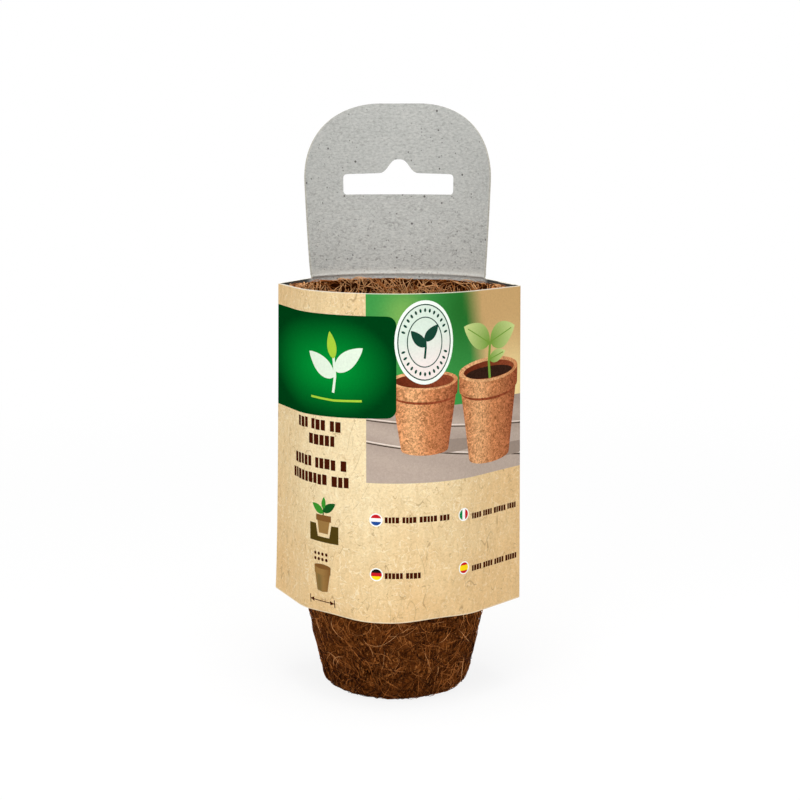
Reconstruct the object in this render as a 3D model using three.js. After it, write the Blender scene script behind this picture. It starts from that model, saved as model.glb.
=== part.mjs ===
// Eight small coir plant pots nested in one stack, held by a printed card sleeve
// that runs up into a hang tab. Millimetres, +Z up. The origin is the centre of the
// lowest pot's flat base, the front of the sleeve faces -Y and its two creases lie on X.
import * as THREE from 'three';
import { mergeVertices } from 'three/addons/utils/BufferGeometryUtils.js';
import { TessellateModifier } from 'three/addons/modifiers/TessellateModifier.js';

// Pots
const potCount = 8;
const potHeight = 45;
const collarHeight = 10.4; // the wider band round the mouth
const rimRadius = 30;
const collarFlare = 0.5; // how much the collar widens up to the rim
const footRadius = 21.4; // where the wall would meet the base without its rounded edge
const wallBow = 0.4; // how far the wall swells out of a straight cone
const rimWall = 1.45;
const ledgeRise = 1.2; // from the shoulder outside to the ledge inside
const potFloor = 2;
const footRounding = 3;
const rimRounding = 0.35;
const nestGap = 0.3; // between the walls of two nested pots
const seatGap = 0.27; // between a pot's shoulder and the rim it sits on
const potSides = 32;
const wallSteps = 3;
const roundingSteps = 2;

// Sleeve
const card = 0.6;
const sleeveGap = 0.3; // between the widest rim and the card
const sleeveLength = 93.9;
const sleeveStand = 1; // the card's top edge above the top rim
const rightReachTop = 36.6; // from the axis out to the +X crease
const rightReachFoot = 37.5;
const leftReachTop = 35.1; // and to the -X crease
const leftReachFoot = 37.2;
const creaseRounding = 1.2;
const lapWidth = 9; // glue flap inside the back panel
const lapSetback = 1; // from the crease to the flap's raised face
const roundSteps = 24;
const creaseSteps = 4;
const sleeveRings = 4; // levels that the card's changing section is ruled between

// Hang tab
const foldGap = 0.3; // score line between the sleeve and the tab
const tabWidth = 64.2; // along the card
const tabHeight = 52.3;
const tabShift = -3.1; // off the middle of the back, along the card
const tabCornerReach = 26; // the wide oval corners, along the card
const tabCornerDrop = 23.8; // and down from the top
const tabTopBend = 42; // the card relaxes to this radius at the tab's top
const slotWidth = 35.6;
const slotHeight = 6.5;
const slotRise = 24.6; // from the fold to the slot's lower edge
const slotCorner = 1.1;
const humpFoot = 10.8;
const humpHeight = 4.2;
const bendStep = 5; // longest facet across the bend
const riseStep = 15; // and upwards, where the card is nearly straight
const outlineSteps = 6;

const sleeveRadius = rimRadius + sleeveGap + card;

const coir = new THREE.MeshStandardMaterial({ color: 0x6b3f22, roughness: 0.95, metalness: 0 });
const printedCard = new THREE.MeshStandardMaterial({ color: 0xcfa877, roughness: 0.8, metalness: 0 });
const greyBoard = new THREE.MeshStandardMaterial({ color: 0xb0afa8, roughness: 0.85, metalness: 0 });

// Keeps only the positions, joins equal corners and drops facets of no area.
function closedSolid(geometry) {
  const bare = geometry.index ? geometry.toNonIndexed() : geometry.clone();
  bare.deleteAttribute('normal');
  bare.deleteAttribute('uv');
  const merged = mergeVertices(bare, 1e-4);
  const corners = merged.index.array;
  const kept = [];
  for (let i = 0; i < corners.length; i += 3) {
    const [a, b, c] = corners.slice(i, i + 3);
    if (a !== b && b !== c && c !== a) kept.push(a, b, c);
  }
  merged.setIndex(kept);
  merged.computeVertexNormals();
  return merged;
}

// Below the collar the outer wall is a cone with a slight bow: foot + taper z - curve z^2.
const shoulderRise = potHeight - collarHeight;
const shoulderRadius = rimRadius - rimWall - nestGap; // passes through the rim below
const wallCurve = 4 * wallBow / shoulderRise ** 2;
const wallTaper = (shoulderRadius - footRadius + 4 * wallBow) / shoulderRise;
const nestPitch = collarHeight + seatGap; // each shoulder sits on the rim below
const stackHeight = potHeight + (potCount - 1) * nestPitch;
const sleeveTop = stackHeight + sleeveStand;
const sleeveFoot = sleeveTop - sleeveLength;

function outerRadius(z) {
  return footRadius + wallTaper * z - wallCurve * z ** 2;
}

// The wall inside follows the outside of the pot that nests in it.
function innerRadius(z) {
  return outerRadius(z - nestPitch) + nestGap;
}

function potProfile() {
  const { lerp } = THREE.MathUtils;
  const ledge = shoulderRise + ledgeRise;
  const innerFoot = potFloor + footRounding;
  const profile = new THREE.Path();
  profile.moveTo(0, 0);
  profile.lineTo(footRadius - footRounding, 0);
  profile.quadraticCurveTo(footRadius, 0, outerRadius(footRounding), footRounding);
  for (let i = 1; i <= wallSteps; i++) {
    const z = lerp(footRounding, shoulderRise, i / wallSteps);
    profile.lineTo(outerRadius(z), z);
  }
  profile.lineTo(rimRadius - collarFlare, shoulderRise);
  profile.lineTo(rimRadius, potHeight - rimRounding);
  profile.lineTo(rimRadius - rimRounding, potHeight);
  profile.lineTo(rimRadius - rimWall + rimRounding, potHeight);
  profile.lineTo(rimRadius - rimWall, potHeight - rimRounding);
  profile.lineTo(rimRadius - collarFlare - rimWall, ledge);
  for (let i = 0; i <= wallSteps; i++) {
    const z = lerp(ledge, innerFoot, i / wallSteps);
    profile.lineTo(innerRadius(z), z);
  }
  const floorRadius = innerRadius(potFloor);
  profile.quadraticCurveTo(floorRadius, potFloor, floorRadius - footRounding, potFloor);
  profile.lineTo(0, potFloor);
  return profile.getPoints(roundingSteps);
}

function potGeometry() {
  const turned = new THREE.LatheGeometry(potProfile(), potSides);
  turned.rotateX(Math.PI / 2);
  return closedSolid(turned);
}

// Points of an arc round a centre on the X axis, both ends included.
function arcPoints(centreX, radius, from, to, steps) {
  return Array.from({ length: steps + 1 }, (_, i) => {
    const angle = THREE.MathUtils.lerp(from, to, i / steps);
    return new THREE.Vector2(centreX + radius * Math.cos(angle), radius * Math.sin(angle));
  });
}

// How far a crease's centre lies from the axis, and the angle at which its flats leave it.
function creaseAt(reach) {
  const centre = reach - creaseRounding;
  return { centre, turn: Math.acos((sleeveRadius - creaseRounding) / centre) };
}

// Level section of the card, a share of the way up and moved inwards by inset: round over
// the pots and drawn out straight to two creases. The first flat carries the flap's two ends.
function sleeveSection(share, inset) {
  const { lerp } = THREE.MathUtils;
  const left = creaseAt(lerp(leftReachFoot, leftReachTop, share));
  const right = creaseAt(lerp(rightReachFoot, rightReachTop, share));
  const fold = creaseRounding - inset;
  const round = sleeveRadius - inset;
  const { PI } = Math;
  const rightCrease = arcPoints(right.centre, fold, -right.turn, right.turn, creaseSteps);
  const back = arcPoints(0, round, right.turn, PI - left.turn, roundSteps);
  const leftCrease = arcPoints(-left.centre, fold, PI - left.turn, PI + left.turn, creaseSteps);
  const front = arcPoints(0, round, PI + left.turn, 2 * PI - right.turn, roundSteps);
  const along = new THREE.Vector2(-Math.sin(right.turn), Math.cos(right.turn));
  const flap = [lapSetback, lapSetback + lapWidth].map(
    (run) => rightCrease.at(-1).clone().addScaledVector(along, run),
  );
  return [...rightCrease, ...flap, ...back, ...leftCrease, ...front];
}

// The flap's ends moved from the card's inner face to the flap's own.
function flapFace(near, far) {
  const along = new THREE.Vector2().subVectors(far, near).normalize();
  const inwards = new THREE.Vector2(-along.y, along.x).multiplyScalar(card);
  return [near.clone().add(inwards), far.clone().add(inwards)];
}

// The card as rings of points at a few levels: the outer face, the inner face and the flap.
// Both faces are cut along the same diagonals, so the card keeps its thickness.
function sleeveGeometry() {
  const near = creaseSteps + 1;
  const rings = Array.from({ length: sleeveRings + 1 }, (_, k) => {
    const share = k / sleeveRings;
    const outer = sleeveSection(share, 0);
    const inner = sleeveSection(share, card);
    const points = [...outer, ...inner, ...flapFace(inner[near], inner[near + 1])];
    return points.map((point) => [point.x, point.y, share * sleeveLength]);
  });
  const ring = rings[0].length;
  const n = ring / 2 - 1;
  const top = sleeveRings * ring;
  const flap = [n + near, 2 * n, 2 * n + 1, n + near + 1];
  const faces = [];
  const quad = (a, b, c, d) => faces.push(a, b, c, a, c, d);
  for (let low = 0; low < top; low += ring) {
    const high = low + ring;
    const inside = (a, b) => quad(low + a, high + a, high + b, low + b);
    for (let i = 0; i < n; i++) {
      const j = (i + 1) % n;
      quad(low + i, low + j, high + j, high + i);
      if (i !== near) inside(n + i, n + j);
    }
    for (let i = 1; i < flap.length; i++) inside(flap[i - 1], flap[i]);
  }
  for (let i = 0; i < n; i++) {
    const j = (i + 1) % n;
    quad(n + i, n + j, j, i);
    quad(top + i, top + j, top + n + j, top + n + i);
  }
  quad(...flap);
  quad(...flap.map((point) => top + point).reverse());
  const sleeve = new THREE.BufferGeometry();
  sleeve.setAttribute('position', new THREE.Float32BufferAttribute(rings.flat(2), 3));
  sleeve.setIndex(faces);
  return closedSolid(sleeve);
}

// The tab's outline on the flat card: straight sides and wide oval corners under a short flat top.
function tabOutline() {
  const half = tabWidth / 2;
  const cornerX = half - tabCornerReach;
  const cornerZ = tabHeight - tabCornerDrop;
  const outline = new THREE.Shape();
  outline.moveTo(tabShift - half, 0);
  outline.lineTo(tabShift + half, 0);
  for (const [x, from] of [[tabShift + cornerX, 0], [tabShift - cornerX, Math.PI / 2]]) {
    outline.absellipse(x, cornerZ, tabCornerReach, tabCornerDrop, from, from + Math.PI / 2, false, 0);
  }
  outline.closePath();
  outline.holes.push(slotOutline());
  return outline;
}

// A bar for the hook with a rounded hump over its middle.
function slotOutline() {
  const side = slotWidth / 2 - slotCorner;
  const low = slotRise + slotCorner;
  const high = slotRise + slotHeight;
  const hump = humpFoot / 2;
  const slot = new THREE.Path();
  slot.absarc(tabShift - side, low, slotCorner, Math.PI, 1.5 * Math.PI, false);
  slot.absarc(tabShift + side, low, slotCorner, 1.5 * Math.PI, 2 * Math.PI, false);
  slot.absarc(tabShift + side, high - slotCorner, slotCorner, 0, Math.PI / 2, false);
  slot.lineTo(tabShift + hump, high);
  slot.bezierCurveTo(
    tabShift + 0.7 * hump, high,
    tabShift + 0.8 * hump, high + humpHeight,
    tabShift, high + humpHeight,
  );
  slot.bezierCurveTo(
    tabShift - 0.8 * hump, high + humpHeight,
    tabShift - 0.7 * hump, high,
    tabShift - hump, high,
  );
  slot.absarc(tabShift - side, high - slotCorner, slotCorner, Math.PI / 2, Math.PI, false);
  slot.closePath();
  return slot;
}

// The flat tab rolled to the sleeve's back: x runs along the card, y up, z into its thickness.
function tabGeometry() {
  const flat = new THREE.ExtrudeGeometry(tabOutline(), {
    depth: card,
    bevelEnabled: false,
    curveSegments: outlineSteps,
  });
  const squash = bendStep / riseStep;
  flat.scale(1, squash, 1);
  const fine = new TessellateModifier(bendStep, 12).modify(flat);
  fine.scale(1, 1 / squash, 1);
  const place = fine.getAttribute('position');
  for (let i = 0; i < place.count; i++) {
    const up = place.getY(i);
    const bend = THREE.MathUtils.lerp(sleeveRadius, tabTopBend, up / tabHeight);
    const angle = place.getX(i) / bend;
    const reach = bend - place.getZ(i);
    place.setXYZ(i, reach * Math.sin(angle), sleeveRadius - bend + reach * Math.cos(angle), up);
  }
  return closedSolid(fine);
}

const pack = new THREE.Group();

function addPiece(name, geometry, material, z) {
  const piece = new THREE.Mesh(geometry, material);
  piece.name = name;
  piece.position.z = z;
  pack.add(piece);
}

const onePot = potGeometry();
for (let i = 0; i < potCount; i++) {
  addPiece(`coir_pot_${i + 1}`, onePot, coir, i * nestPitch);
}
addPiece('card_sleeve', sleeveGeometry(), printedCard, sleeveFoot);
addPiece('hang_tab', tabGeometry(), greyBoard, sleeveTop + foldGap);

export default pack;
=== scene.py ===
# Coir pots nested in a printed card sleeve: the finish of every piece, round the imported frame
import functools
import math

import bpy
import bmesh
import numpy as np
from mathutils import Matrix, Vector
from mathutils.geometry import delaunay_2d_cdt


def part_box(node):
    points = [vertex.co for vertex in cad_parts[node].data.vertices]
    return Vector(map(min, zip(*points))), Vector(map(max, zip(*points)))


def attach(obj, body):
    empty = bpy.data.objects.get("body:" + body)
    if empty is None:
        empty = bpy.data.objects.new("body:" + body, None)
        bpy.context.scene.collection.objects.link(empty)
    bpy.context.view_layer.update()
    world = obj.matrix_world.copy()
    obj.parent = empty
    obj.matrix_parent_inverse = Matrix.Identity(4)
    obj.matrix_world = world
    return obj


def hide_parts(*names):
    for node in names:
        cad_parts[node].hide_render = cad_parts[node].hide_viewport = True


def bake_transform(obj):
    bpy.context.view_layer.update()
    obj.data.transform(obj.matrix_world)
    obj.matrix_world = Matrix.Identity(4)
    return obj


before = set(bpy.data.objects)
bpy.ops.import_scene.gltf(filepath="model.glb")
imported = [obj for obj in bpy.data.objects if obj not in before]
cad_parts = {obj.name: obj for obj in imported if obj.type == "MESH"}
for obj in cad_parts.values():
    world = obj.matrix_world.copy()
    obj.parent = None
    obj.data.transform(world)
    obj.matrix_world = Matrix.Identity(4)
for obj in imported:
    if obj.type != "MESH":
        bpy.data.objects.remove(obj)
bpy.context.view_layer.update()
mm = 0.001
fullTurn = 2 * math.pi
weldGap = 2e-6  # points of a card piece nearer than this are one
potCount = sum(name.startswith("coir_pot_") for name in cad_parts)


# Node and material helpers

class Nodes:  # a node tree being filled
    def __init__(self, tree):
        self.nodes, self.links = tree.nodes, tree.links

    # A new node: sockets go by name or number and take a value or another node's output
    def add(self, kind, sockets, **settings):
        node = self.nodes.new("ShaderNode" + kind)
        for name, value in settings.items():
            setattr(node, name, value)
        for name, value in sockets.items():
            if isinstance(value, bpy.types.NodeSocket):
                self.links.new(value, node.inputs[name])
            else:
                node.inputs[name].default_value = value
        return node

    def math(self, operation, first, second=0.0):
        return self.add("Math", {0: first, 1: second}, operation=operation).outputs[0]

    def times(self, *values):
        return functools.reduce(lambda first, second: self.math("MULTIPLY", first, second), values)

    def plus(self, *values):
        return functools.reduce(lambda first, second: self.math("ADD", first, second), values)

    def spread(self, value, low, high, bottom=0.0, top=1.0):
        ends = {"Value": value, "From Min": low, "From Max": high, "To Min": bottom, "To Max": top}
        return self.add("MapRange", ends, interpolation_type="SMOOTHSTEP").outputs["Result"]

    def seenDirectly(self):
        path = self.add("LightPath", {}).outputs
        return self.math("MAXIMUM", path["Is Camera Ray"], path["Is Glossy Ray"])

    def show(self, kind, amount, first, second):
        both = self.add("MixShader", {"Fac": amount, 1: first.outputs[0], 2: second.outputs[0]})
        self.add(kind, {"Surface": both.outputs[0]})


class Surface(Nodes):  # a material being built: its shader and where its patterns are placed
    def __init__(self, name, roughness, specular, placeName=None):
        self.material = bpy.data.materials.new(name)
        self.material.use_nodes = True
        super().__init__(self.material.node_tree)
        self.shader = self.nodes["Principled BSDF"].inputs
        self.shader["Roughness"].default_value = roughness
        self.shader["Specular IOR Level"].default_value = specular
        if placeName:
            self.place = self.read(placeName, "Vector")
        else:
            self.place = self.add("TexCoord", {}).outputs["Object"]

    def read(self, attributeName, output):
        return self.add("Attribute", {}, attribute_name=attributeName).outputs[output]

    # stretch is three scales and three turns of the pattern's place
    def noise(self, scale, detail=2.0, rough=0.5, distortion=0.0, stretch=None):
        place = self.place
        if stretch:
            turned = {"Scale": stretch[:3], "Rotation": stretch[3:], "Vector": self.place}
            place = self.add("Mapping", turned).outputs["Vector"]
        return self.add("TexNoise", {
            "Scale": scale, "Detail": detail, "Roughness": rough, "Distortion": distortion, "Vector": place,
        }).outputs["Fac"]

    def cells(self, scale):
        return self.add("TexVoronoi", {"Scale": scale, "Vector": self.place}).outputs["Distance"]

    def ramp(self, value, *stops):
        node = self.add("ValToRGB", {"Fac": value})
        points = node.color_ramp.elements
        while len(points) < len(stops):
            points.new(0.5)
        for point, (at, color) in zip(points, stops):
            point.position = at
            point.color = (*color, 1.0)
        return node.outputs["Color"]

    def mix(self, amount, first, second, way="MIX"):
        first, second = ((*color, 1.0) if isinstance(color, tuple) else color for color in (first, second))
        sockets = {0: amount, 6: first, 7: second}
        return self.add("Mix", sockets, data_type="RGBA", blend_type=way).outputs[2]

    # Darkens and lightens a colour by a pattern that runs from one tint to another
    def tint(self, amount, color, pattern, low, high):
        return self.mix(amount, color, self.mix(pattern, low, high), "MULTIPLY")

    def far(self, centre, reach):
        away = self.add("VectorMath", {0: self.place, 1: centre}, operation="DISTANCE")
        return self.spread(away.outputs["Value"], 0.0, reach)

    def axis(self, name):
        return self.add("SeparateXYZ", {0: self.place}).outputs[name]

    # Thin broken curved lines: where one noise crosses its middle, kept only in patches of another
    def hairs(self, scale, thin, cover, distortion=0.7, stretch=None):
        field = self.noise(scale, 1.0, 0.5, distortion, stretch)
        line = self.spread(self.math("ABSOLUTE", self.math("SUBTRACT", field, 0.5)), 0.0, thin, 1.0, 0.0)
        patch = self.spread(self.noise(scale * 1.7, 1.0), cover, cover + 0.05)
        return self.times(line, patch)

    def color(self, value):
        self.links.new(value, self.shader["Base Color"])

    def rough(self, value):
        self.links.new(value, self.shader["Roughness"])

    def bump(self, value, distance, strength):
        bumps = self.add("Bump", {"Distance": distance, "Strength": strength, "Height": value})
        self.links.new(bumps.outputs["Normal"], self.shader["Normal"])


# Camera, light and floor

view = {
    "place": (61.54 * mm, -430.53 * mm, 157.8 * mm),
    "pitch": 0.164,  # radians down
    "yaw": 0.139,  # radians, turned towards the left crease
    "sensor": 36.0,
    "lens": 66.76,
}

stage = {
    "lamps": (  # name, place, size, watts
        ("keyLamp", (-0.38, -0.80, 0.42), 0.50, 2.5),
        ("fillLamp", (0.62, -0.60, 0.26), 0.55, 1.4),
        ("topLamp", (0.02, -0.10, 0.85), 0.45, 4.6),
    ),
    "aim": (0.0, 0.0, 0.09),
    "worldLight": 0.46,
    "floorGlow": (0.86, 1.0),  # share of the floor that shows plain white, near and far
    "floorFade": (0.10, 0.55),
    "floorColor": (0.92, 0.92, 0.92, 1.0),
    "floorHalf": 6.0,
    "floorGap": 0.00015,  # between the floor and the lowest pot
    "white": (1.0, 1.0, 1.0, 1.0),
}


def makeCamera():
    data = bpy.data.cameras.new("photoCamera")
    data.sensor_width = view["sensor"]
    data.lens = view["lens"]
    data.clip_start = 0.01
    camera = bpy.data.objects.new("photoCamera", data)
    camera.location = view["place"]
    camera.rotation_euler = (math.pi / 2 - view["pitch"], 0.0, view["yaw"])
    bpy.context.scene.collection.objects.link(camera)
    bpy.context.scene.camera = camera


def makeWorld():
    world = bpy.data.worlds.new("softRoom")
    bpy.context.scene.world = world
    world.use_nodes = True
    room = Nodes(world.node_tree)
    room.nodes.clear()
    lit = room.add("Background", {"Color": stage["white"], "Strength": stage["worldLight"]})
    seen = room.add("Background", {"Color": stage["white"], "Strength": 1.0})
    room.show("OutputWorld", room.seenDirectly(), lit, seen)


def makeLamps():
    for name, place, size, watts in stage["lamps"]:
        data = bpy.data.lights.new(name, "AREA")
        data.size = size
        data.energy = watts
        lamp = bpy.data.objects.new(name, data)
        lamp.location = place
        lamp.rotation_euler = (Vector(stage["aim"]) - Vector(place)).to_track_quat("-Z", "Y").to_euler()
        bpy.context.scene.collection.objects.link(lamp)


def makeFloor():
    half = stage["floorHalf"]
    mesh = bpy.data.meshes.new("floor")
    corners = [(-half, -half, 0), (half, -half, 0), (half, half, 0), (-half, half, 0)]
    mesh.from_pydata(corners, [], [(0, 1, 2, 3)])
    floor = bpy.data.objects.new("floor", mesh)
    floor.location.z = -stage["floorGap"]
    bpy.context.scene.collection.objects.link(floor)
    material = bpy.data.materials.new("paleFloor")
    material.use_nodes = True
    pale = Nodes(material.node_tree)
    pale.nodes.clear()
    paint = pale.add("BsdfDiffuse", {"Color": stage["floorColor"]})
    glow = pale.add("Emission", {"Strength": 1.0})
    place = pale.add("TexCoord", {}).outputs["Object"]
    away = pale.add("VectorMath", {0: place}, operation="LENGTH").outputs["Value"]
    fade = pale.spread(away, *stage["floorFade"], *stage["floorGlow"])
    pale.show("OutputMaterial", pale.times(pale.seenDirectly(), fade), paint, glow)
    mesh.materials.append(material)


makeCamera()
makeWorld()
makeLamps()
makeFloor()
bpy.context.scene.view_settings.view_transform = "Standard"
print("camera, lamps and floor are in place")


# Mesh helpers

# faces is a list of index arrays, each of quads or of triangles
def meshOf(name, points, faces, materials, faceMaterials):
    mesh = bpy.data.meshes.new(name)
    mesh.vertices.add(len(points))
    mesh.vertices.foreach_set("co", np.asarray(points, np.float32).ravel())
    loops = np.concatenate([f.ravel() for f in faces]).astype(np.int32)
    sizes = np.concatenate([np.full(len(f), f.shape[1], np.int32) for f in faces])
    starts = np.concatenate([[0], np.cumsum(sizes)[:-1]]).astype(np.int32)
    mesh.loops.add(len(loops))
    mesh.loops.foreach_set("vertex_index", loops)
    mesh.polygons.add(len(sizes))
    mesh.polygons.foreach_set("loop_start", starts)
    mesh.polygons.foreach_set("material_index", np.asarray(faceMaterials, np.int32))
    for material in materials:
        mesh.materials.append(material)
    mesh.update(calc_edges=True)
    mesh.shade_smooth()
    return mesh


def addPiece(name, mesh):
    piece = bpy.data.objects.new(name, mesh)
    bpy.context.scene.collection.objects.link(piece)
    return piece


# Coir pots

pot = {
    "height": 45.0 * mm,
    "collarHeight": 10.4 * mm,
    "collarFlare": 0.5 * mm,
    "footRadius": 21.4 * mm,
    "wallBow": 0.4 * mm,
    "rimWall": 1.45 * mm,
    "ledgeRise": 1.2 * mm,
    "floor": 2.0 * mm,
    "footRounding": 3.0 * mm,
    "rimRounding": 0.45 * mm,
    "nestGap": 0.3 * mm,
    "profileStep": 0.95 * mm,
    "sides": 124,
    "inset": 0.30 * mm,  # the matted base lies this far inside, so that its fibres reach the true size
    "lumps": 0.14 * mm,
    "lumpSizes": (1.1 * mm, 5.0 * mm),
    "lumpWaves": 36,
    "ease": 0.4 * mm,  # rounding between the wall and the collar
}

fibre = {
    "points": 6,
    "radius": (0.055 * mm, 0.16 * mm),
    "length": (3.0 * mm, 11.0 * mm),
    "lift": (-0.26 * mm, 0.10 * mm),
    "floorClear": 0.17 * mm,  # no fibre's middle lies lower
    "arch": 0.20 * mm,
    "bend": 0.17,  # radians per step
    "wander": 0.17,
    "straggle": 0.55,  # spread about the lie of the mat, radians
    "crossing": 0.3,  # share that lies any way at all
    "sink": 0.12 * mm,  # how deep the ends of a fibre go under
    "looseShare": 0.035,
    "looseLift": 0.7 * mm,
    "fringeReach": (2.2 * mm, 3.1 * mm),  # how far the top rim's ends fill the left and right creases
    "fringeSpread": 0.34,
    "fringeSwing": (0.10, 0.30),  # half the angle that such an end runs along
    "fringeIn": (0.4 * mm, 1.6 * mm),
    "fringeDown": (-0.1 * mm, 2.6 * mm),
    "fringeWave": 0.7 * mm,
    "fringeSag": 0.5 * mm,
}

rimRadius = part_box("coir_pot_1")[1].x
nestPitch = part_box("coir_pot_2")[0].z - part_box("coir_pot_1")[0].z


# The pot's section from the middle of its base, round the rim, to the middle of its floor
def potProfile():
    shoulder = pot["height"] - pot["collarHeight"]
    shoulderRadius = rimRadius - pot["rimWall"] - pot["nestGap"]
    curve = 4 * pot["wallBow"] / shoulder ** 2
    taper = (shoulderRadius - pot["footRadius"] + 4 * pot["wallBow"]) / shoulder

    def outer(z):
        return pot["footRadius"] + taper * z - curve * z ** 2

    def inner(z):
        return outer(z - nestPitch) + pot["nestGap"]

    def eased(corner, before, after, steps=5):
        t = np.linspace(0, 1, steps)
        return [*zip(*((1 - t) ** 2 * b + 2 * t * (1 - t) * c + t ** 2 * a
                       for b, c, a in zip(before, corner, after)))]

    foot, edge, ease, top = pot["footRounding"], pot["rimRounding"], pot["ease"], pot["height"]
    ledge = shoulder + pot["ledgeRise"]
    collarFoot = rimRadius - pot["collarFlare"]
    mouth = rimRadius - pot["rimWall"]
    floor = pot["floor"]
    base, neck = pot["footRadius"], outer(shoulder)
    points = [(0.0, 0.0)]
    points += eased((base, 0), (base - foot, 0), (outer(foot), foot))
    points += [(outer(z), z) for z in np.linspace(foot, shoulder - ease, 9)[1:]]
    points += eased(
        (neck, shoulder), (outer(shoulder - ease), shoulder - ease), (neck + 0.5 * mm, shoulder), 3)[1:]
    points += eased(
        (collarFoot, shoulder), (collarFoot - 0.3 * mm, shoulder), (collarFoot, shoulder + ease), 3)
    points += eased((rimRadius, top), (rimRadius, top - edge), (rimRadius - edge, top))
    points += eased((mouth, top), (mouth + edge, top), (mouth, top - edge))
    points += [(mouth - pot["collarFlare"], ledge + 0.3 * mm), (inner(ledge) + 0.2 * mm, ledge)]
    points += [(inner(z), z) for z in np.linspace(ledge - ease, floor + foot, 9)]
    points += eased(
        (inner(floor), floor), (inner(floor + foot), floor + foot), (inner(floor) - foot, floor))[1:]
    points += [(0.0, floor)]
    return np.array(points)


# The section at even steps: distance along it, radius, height and the outward direction
def evenWall():
    section = potProfile()
    run = np.concatenate([[0], np.cumsum(np.linalg.norm(np.diff(section, axis=0), axis=1))])
    count = int(run[-1] / pot["profileStep"])
    along = np.linspace(0, run[-1], count)
    radius = np.interp(along, run, section[:, 0])
    height = np.interp(along, run, section[:, 1])
    dr, dz = np.gradient(radius), np.gradient(height)
    size = np.hypot(dr, dz)
    turn = int(np.argmax(height))
    return {
        "along": along, "radius": radius, "height": height, "outR": dz / size, "outZ": -dr / size,
        "foot": np.interp(pot["footRadius"] - pot["footRounding"], radius[:turn], along[:turn]),
        "rim": along[turn],
        "end": run[-1],
    }


wall = evenWall()


def onWall(angle, along, lift):
    radius = np.interp(along, wall["along"], wall["radius"])
    height = np.interp(along, wall["along"], wall["height"])
    outR = np.interp(along, wall["along"], wall["outR"])
    outZ = np.interp(along, wall["along"], wall["outZ"])
    size = np.hypot(outR, outZ) + 1e-9
    outR, outZ = outR / size, outZ / size
    away = np.stack([outR * np.cos(angle), outR * np.sin(angle), outZ], -1)
    reach = radius + lift * outR
    return np.stack([reach * np.cos(angle), reach * np.sin(angle), height + lift * outZ], -1), away


# Smooth random swell over the matted wall, from -1 to 1
def lumps(points, seed):
    rng = np.random.default_rng(seed)
    waves = pot["lumpWaves"]
    size = rng.uniform(*pot["lumpSizes"], waves)
    lie = rng.normal(size=(waves, 3))
    lie /= np.linalg.norm(lie, axis=1)[:, None]
    phase = rng.uniform(0, fullTurn, waves)
    total = np.sin(points @ (lie * (fullTurn / size)[:, None]).T + phase) @ (size / size.max()) ** 0.5
    return total / np.abs(total).max()


def mattedBase(seed):
    rows = wall["along"][1:-1]
    angle = np.linspace(0, fullTurn, pot["sides"], endpoint=False)
    grid = np.meshgrid(rows, angle, indexing="ij")
    height = np.interp(grid[0], wall["along"], wall["height"])
    deep = pot["inset"] * np.clip(height / pot["footRounding"], 0.3, 1)
    still, away = onWall(grid[1], grid[0], -deep)
    flat = still.reshape(-1, 3)
    flat = flat + away.reshape(-1, 3) * (lumps(flat, seed) * pot["lumps"])[:, None]
    count = pot["sides"]
    index = np.arange(len(flat)).reshape(len(rows), count)
    across = np.roll(index, -1, axis=1)
    quads = np.stack([index[:-1], across[:-1], across[1:], index[1:]], -1).reshape(-1, 4)
    base, floor = len(flat), len(flat) + 1
    poles = [(0, 0, 0.3 * pot["inset"]), (0, 0, pot["floor"] - 0.67 * pot["inset"])]
    under = np.stack([np.full(count, base), across[0], index[0]], -1)
    within = np.stack([np.full(count, floor), index[-1], across[-1]], -1)
    return np.vstack([flat, poles]), quads, np.vstack([under, within])


# Which way the mat's fibres mostly run at a place, in radians from level
def strandLie(angle, along, seed):
    rng = np.random.default_rng(seed)
    lie = np.zeros_like(angle)
    for turns, size in ((2, 31.0), (3, 19.0), (5, 13.0), (8, 9.0)):
        lie += np.sin(turns * angle + along / (size * mm) * 2 * math.pi + rng.uniform(0, 6.28)) * 0.75
    return lie + math.pi / 2


# stand: how far strands lie off the wall, loose: how far the stray ends stand away
def wallStrands(rng, count, start, stop, seed, stand, loose):
    n = fibre["points"]
    along = rng.uniform(start, stop, count)
    angle = rng.uniform(0, fullTurn, count)
    length = rng.triangular(fibre["length"][0], fibre["length"][0] * 1.6, fibre["length"][1], count)
    step = length / (n - 1)
    heading = strandLie(angle, along, seed) + rng.normal(0, fibre["straggle"], count)
    crossing = rng.random(count) < fibre["crossing"]
    heading[crossing] = rng.uniform(0, math.pi, crossing.sum())
    turn = rng.normal(0, fibre["bend"], count)
    t = np.linspace(0, 1, n)[:, None]
    arch = fibre["arch"] * rng.random(count) * np.sin(math.pi * t)
    lift = stand * (rng.uniform(*fibre["lift"], count) + arch) - (1 - stand) * fibre["sink"]
    lift = lift - fibre["sink"] * (np.abs(2 * t - 1) ** 4)
    stray = rng.random(count) < fibre["looseShare"]
    lift = lift + stray * rng.uniform(0.3, 1.0, count) * loose * fibre["looseLift"] * t ** 2
    centres, outs = np.zeros((count, n, 3)), np.zeros((count, n, 3))
    for i in range(n):
        centres[:, i], outs[:, i] = onWall(angle, along, lift[i])
        radius = np.maximum(np.interp(along, wall["along"], wall["radius"]), 4 * mm)
        angle = angle + np.cos(heading) * step / radius
        along = along + np.sin(heading) * step
        outside = (along < start) | (along > stop)
        heading = np.where(outside, -heading, heading)
        along = np.clip(along, start, stop)
        heading = heading + turn + rng.normal(0, fibre["wander"], count)
    return centres, outs


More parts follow.
